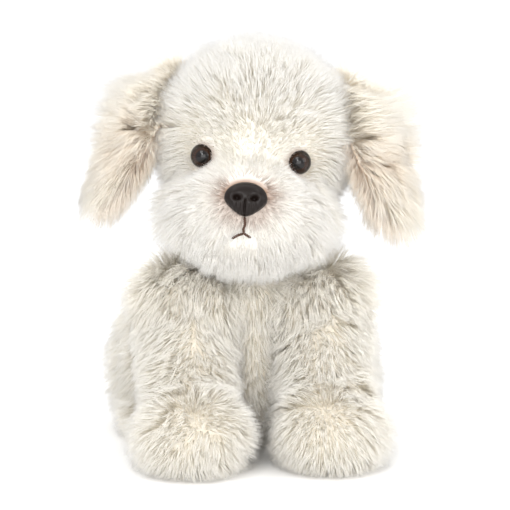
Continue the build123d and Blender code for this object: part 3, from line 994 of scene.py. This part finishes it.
EYE_RADIUS = 8 * MM
# Rings of the eye, as shares of its radius: pupil, iris, the iris's rim, and the edge
EYE_RINGS = (
    (0.40, (0.004, 0.003, 0.003, 1)),
    (0.56, (0.026, 0.010, 0.004, 1)),
    (0.80, (0.016, 0.007, 0.003, 1)),
    (0.95, (0.006, 0.004, 0.003, 1)),
)


def eye_material(node):
    """A black pupil and a dark brown iris, in glossy plastic."""
    made, nodes, links, shader = material("eye_of_" + node, roughness=0.05, specular=0.36)
    q = in_head(read_mesh(frame["nodes"][node].data)[0])
    centre = HEAD_AT + from_head(q[q[:, 1].argmin()]) * MM
    away = nodes.new("ShaderNodeVectorMath")
    away.operation = "DISTANCE"
    away.inputs[1].default_value = tuple(centre)
    lay_on(nodes, links, away.inputs[0])
    scaled = nodes.new("ShaderNodeMath")
    scaled.operation = "MULTIPLY"
    scaled.inputs[1].default_value = 1 / EYE_RADIUS
    links.new(away.outputs["Value"], scaled.inputs[0])
    ring = nodes.new("ShaderNodeValToRGB")
    stops = ring.color_ramp.elements
    for number, (at, colour) in enumerate(EYE_RINGS):
        stop = stops[number] if number < 2 else stops.new(at)
        stop.position, stop.color = at, colour
    links.new(scaled.outputs["Value"], ring.inputs["Fac"])
    links.new(ring.outputs["Color"], shader.inputs["Base Color"])
    return made


for side in ("left", "right"):
    wear(frame["nodes"]["eye_" + side], eye_material("eye_" + side))


# --- nose, label and mouth


def stand_in(name, points, faces, finish, node, body):
    """A modelled piece in place of a CAD node."""
    piece = place(name, triangle_mesh(name, points, faces))
    wear(piece, finish)
    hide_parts(node)
    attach(piece, body)
    return piece


def dent(x, y, at, wide, high):
    """1 in the middle of an oval, falling smoothly to 0 round it."""
    return np.exp(-(((x - at[0]) / wide) ** 2 + ((y - at[1]) / high) ** 2))


def sculpted_nose():
    """A moulded nose with a round top, a narrower foot, two nostrils and a groove down the middle.
    Lengths are in mm."""
    q = in_head(read_mesh(frame["nodes"]["nose"].data)[0])
    front = q[q[:, 1] < NOSE_AT[1] + 1]
    side_way, out, up = np.array([1.0, 0.0, 0.0]), NOSE_OUT, NOSE_UP
    high, reach = front @ up, (front @ out).max() - 2.6
    middle_up = (high.max() + high.min()) / 2 + 1.2
    half_high = (high.max() - high.min()) * 0.63
    half_wide = np.abs(front[:, 0]).max() * 1.05
    rows, columns, deep = 90, 180, 10.0
    lat = np.linspace(0.0, math.pi, rows)
    lon = np.linspace(0.0, 2 * math.pi, columns, endpoint=False)
    lat, lon = np.meshgrid(lat, lon, indexing="ij")

    # A superellipsoid, narrower towards its foot
    ring = np.sin(lat) ** 0.72
    x, y = ring * np.cos(lon), ring * np.sin(lon)
    taper = 1 - 0.36 * ramp(-y, 0.0, 1.1)
    wide = half_wide * x * taper
    tall = half_high * y
    depth = np.sign(np.cos(lat)) * np.abs(np.cos(lat)) ** 0.62

    # What is pressed into its front or stands out of it
    nostrils = dent(np.abs(wide), tall, (5.0, -0.4), 2.1, 1.6) * 3.4
    wings = dent(np.abs(wide), tall, (7.4, 0.6), 2.6, 3.2) * 0.9
    groove = np.exp(-((wide / 0.55) ** 2)) * ramp(-tall, -0.5, 2.5) * 1.2
    folds = np.sin(wide * 2.6) * ramp(-tall, 2.0, 5.0) * 0.22
    rounding = 0.015 * tall**2
    front_face = ramp(depth, 0.05, 0.5)
    height = depth * deep / 2 + front_face * (wings - nostrils - groove + folds - rounding)
    base = out * (reach - deep / 2) + up * middle_up
    q = base + side_way * wide[..., None] + up * tall[..., None] + out * height[..., None]
    points = HEAD_AT + from_head(q.reshape(-1, 3)) * MM

    # Rings of points, each pole's one point, and the triangles between a ring and the next
    ring = np.arange(rows * columns).reshape(rows, columns)
    ring[0], ring[-1] = ring[0, 0], ring[-1, 0]
    turned = np.roll(ring, -1, axis=1)
    down = np.stack([ring[1:-1], ring[2:], turned[1:-1]], axis=-1)
    across = np.stack([turned[:-2], ring[1:-1], turned[1:-1]], axis=-1)
    faces = np.concatenate([down, across]).reshape(-1, 3)
    used, renumbered = np.unique(faces, return_inverse=True)
    faces = renumbered.reshape(-1, 3)
    stand_in("nose_moulding", points[used], faces, NOSE, "nose", "head")


RIBBON_BEND = 0.28 * MM
RIBBON_HALF_THICKNESS = 0.06 * MM
RIBBON_SAG = 1.2 * MM
EDGE_AT, EDGE_WIDTH, EDGE_HEIGHT = 0.6 * MM, 0.35 * MM, 0.03 * MM


def ribbon():
    """The blank label: a satin ribbon folded back on itself, with thicker edges, its two ends in
    the seam."""
    low, high = (np.array(corner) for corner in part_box("sewn_in_label"))
    centre = (low + high) / 2
    half_wide = (high[0] - low[0]) / 2
    run = high[1] - low[1] - RIBBON_BEND

    # The ribbon's middle surface from one end round the fold to the other, and its normals
    plain, turned, columns = 24, 12, 57
    out = np.linspace(0.0, run, plain)
    turn = np.linspace(-math.pi / 2, math.pi / 2, turned + 2)[1:-1]
    flat, ahead = np.full(plain, RIBBON_BEND), np.ones(plain)
    y = np.concatenate([out, run + RIBBON_BEND * np.cos(turn), out[::-1]]) + low[1]
    z = np.concatenate([-flat, RIBBON_BEND * np.sin(turn), flat])
    z = z - RIBBON_SAG * np.clip((y - low[1]) / run, 0, 1) ** 2 + centre[2]
    normal_y = np.concatenate([0 * ahead, np.cos(turn), 0 * ahead])
    normal_z = np.concatenate([-ahead, np.sin(turn), ahead])

    x = np.linspace(-half_wide, half_wide, columns)
    from_edge = half_wide - np.abs(x)
    woven_edge = EDGE_HEIGHT * np.exp(-(((from_edge - EDGE_AT) / EDGE_WIDTH) ** 2))
    sides = []
    for way in (-1, 1):
        off = way * (RIBBON_HALF_THICKNESS + woven_edge[None])
        across = np.repeat(x[None], len(y), 0) + centre[0]
        down, up = y[:, None] + normal_y[:, None] * off, z[:, None] + normal_z[:, None] * off
        sides.append(np.stack([across, down, up], axis=-1).reshape(-1, 3))
    under = np.arange(len(y) * columns).reshape(-1, columns)
    over = under + under.size
    faces = []

    def quads(*corners):
        a, b, c, d = (corner.ravel() for corner in corners)
        faces.append(np.stack([a, b, c, a, c, d], axis=-1).reshape(-1, 3))

    quads(under[:-1, :-1], under[:-1, 1:], under[1:, 1:], under[1:, :-1])
    quads(over[:-1, :-1], over[1:, :-1], over[1:, 1:], over[:-1, 1:])
    quads(under[:-1, 0], under[1:, 0], over[1:, 0], over[:-1, 0])
    quads(under[:-1, -1], over[:-1, -1], over[1:, -1], under[1:, -1])
    quads(under[0, :-1], over[0, :-1], over[0, 1:], under[0, 1:])
    quads(under[-1, :-1], under[-1, 1:], over[-1, 1:], over[-1, :-1])
    points, faces = np.concatenate(sides), np.concatenate(faces)
    piece = stand_in(
        "label_loop", points, faces, RIBBON, "sewn_in_label", "torso"
    )


PLIES, PLY_SIDES = 3, 8
THREAD_RADIUS, TWIST, THREAD_STEP = 0.72, 3.4, 0.25  # mm
THREAD_END = 0.7  # mm over which a stroke's end thins


def floss(path):
    """Plies of floss twisted along a line of points in mm: its points and faces."""
    step = np.append(0, np.cumsum(np.linalg.norm(np.diff(path, axis=0), axis=1)))
    even = np.linspace(0, step[-1], max(12, int(step[-1] / THREAD_STEP)))
    line = np.stack([np.interp(even, step, path[:, i]) for i in range(3)], axis=1)
    along = unit(np.gradient(line, axis=0))
    across = unit(np.cross(along, [0.1, 1.0, 0.05]))
    other = np.cross(along, across)

    def turned(angle):
        cos, sin = np.cos(angle)[..., None], np.sin(angle)[..., None]
        return across[:, None] * cos + other[:, None] * sin

    points, faces, count, around = [], [], 0, PLY_SIDES
    for ply in range(PLIES):
        angle = even / TWIST * 2 * math.pi + ply * 2 * math.pi / PLIES
        centre = line + THREAD_RADIUS * 0.5 * turned(angle[:, None])[:, 0]
        thin = np.clip(np.minimum(even, even[-1] - even) / THREAD_END, 0.25, 1.0)
        rim = turned((np.arange(around) * 2 * math.pi / around)[None])
        swell = thin * THREAD_RADIUS * 0.62
        points.append((centre[:, None] + rim * swell[:, None, None]).reshape(-1, 3))
        for i in range(len(line) - 1):
            for k in range(around):
                a, b = count + i * around + k, count + i * around + (k + 1) % around
                faces += [(a, b, b + around), (a, b + around, a + around)]
        end = count + (len(line) - 1) * around
        for k in range(1, around - 1):
            faces += [(count, count + k + 1, count + k), (end, end + k, end + k + 1)]
        count += len(line) * around
    return np.vstack(points), np.array(faces)


IN_FRONT = -110.0  # mm from the neck, where the rays to the muzzle start
PROUD = 2.9  # mm that the thread stands off the muzzle's cloth


def embroidered_mouth():
    """The thread that runs down from the nose and forks under it, raised to show in the pile."""
    top, fork, bottom, half = mouth_box()
    strokes = [
        [(0, top + 2.0), (0.5, top - 2.5), (-0.3, fork + 2.5), (0.1, fork)],
        [(0.1, fork), (-half * 0.45, fork - 1.2), (-half, bottom + 1.0)],
        [(0.1, fork), (half * 0.35, fork - 1.3), (half * 0.62, bottom + 2.2)],
    ]
    backward = Vector(from_head(np.array([0.0, 1.0, 0.0])))
    all_points, all_faces, count = [], [], 0
    for stroke in strokes:
        line = []
        for x, z in stroke:
            start = HEAD_AT + from_head(np.array([x, IN_FRONT, z])) * MM
            hit = trees["head"].ray_cast(Vector(start), backward)[0]
            line.append(in_head(np.array(hit)[None])[0] - [0.0, PROUD, 0.0])
        points, faces = floss(np.array(line))
        all_points.append(points)
        all_faces.append(faces + count)
        count += len(points)
    points = HEAD_AT + from_head(np.vstack(all_points)) * MM
    faces = np.vstack(all_faces)
    stand_in("mouth_floss", points, faces, THREAD, "mouth_stitching", "head")


ribbon()
sculpted_nose()
embroidered_mouth()

# --- floor, light and camera

FLOOR = 4.0  # half its side, in metres
corners = np.array([[-1, -1, 0], [1, -1, 0], [1, 1, 0], [-1, 1, 0]]) * FLOOR
floor = place("floor", triangle_mesh("floor", corners, np.array([[0, 1, 2], [0, 2, 3]])))
floor_paint, _, _, floor_shader = material("floor_paper", roughness=0.9, specular=0.0)
floor_shader.inputs["Base Color"].default_value = (0.97, 0.97, 0.97, 1)
wear(floor, floor_paint)

SKY = 1.08
BOUNCES = 8  # between pale fibres, which are grey with fewer
scene = bpy.context.scene
scene.view_settings.view_transform = "Standard"
scene.cycles.diffuse_bounces = BOUNCES
world = bpy.data.worlds.new("studio")
scene.world = world
world.use_nodes = True
world.node_tree.nodes["Background"].inputs["Color"].default_value = (1, 1, 1, 1)
world.node_tree.nodes["Background"].inputs["Strength"].default_value = SKY


def area_light(name, at, aim, size, watts):
    """A square soft box."""
    light = bpy.data.lights.new(name, "AREA")
    light.size = size
    light.energy = watts
    lamp = bpy.data.objects.new(name, light)
    scene.collection.objects.link(lamp)
    lamp.location = at
    lamp.rotation_mode = "QUATERNION"
    lamp.rotation_quaternion = (Vector(aim) - Vector(at)).to_track_quat("-Z", "Y")


# Name, place, height of its aim on the toy's middle line, side, and power
for name, at, height, size, watts in (
    ("key", (-0.5, -1.1, 1.2), 0.13, 0.6, 5.0),
    ("fill", (1.1, -0.9, 0.7), 0.13, 0.9, 5.0),
    ("top", (0.0, 0.3, 1.5), 0.13, 1.0, 4.5),
    ("catch", (-0.22, -0.85, 0.55), 0.17, 0.10, 1.3),
    ("low", (-0.1, -1.4, 0.14), 0.06, 1.0, 9.5),
):
    area_light(name, at, (0, 0, height), size, watts)

CAMERA_AZIMUTH, CAMERA_ELEVATION = math.radians(-6.0), math.radians(9.5)
CAMERA_DISTANCE = 1.25
VIEW_HEIGHT = 0.298  # what the camera sees at that distance, in metres
AIM = Vector((-0.0005, -0.035, 0.1195))
camera = bpy.data.objects.new("camera", bpy.data.cameras.new("camera"))
scene.collection.objects.link(camera)
scene.camera = camera
back = Vector((
    math.sin(CAMERA_AZIMUTH) * math.cos(CAMERA_ELEVATION),
    -math.cos(CAMERA_AZIMUTH) * math.cos(CAMERA_ELEVATION),
    math.sin(CAMERA_ELEVATION),
))
camera.location = AIM + back * CAMERA_DISTANCE
camera.rotation_mode = "QUATERNION"
camera.rotation_quaternion = (-back).to_track_quat("-Z", "Y")
camera.data.lens = camera.data.sensor_width * CAMERA_DISTANCE / VIEW_HEIGHT
camera.data.clip_start, camera.data.clip_end = 0.01, 20
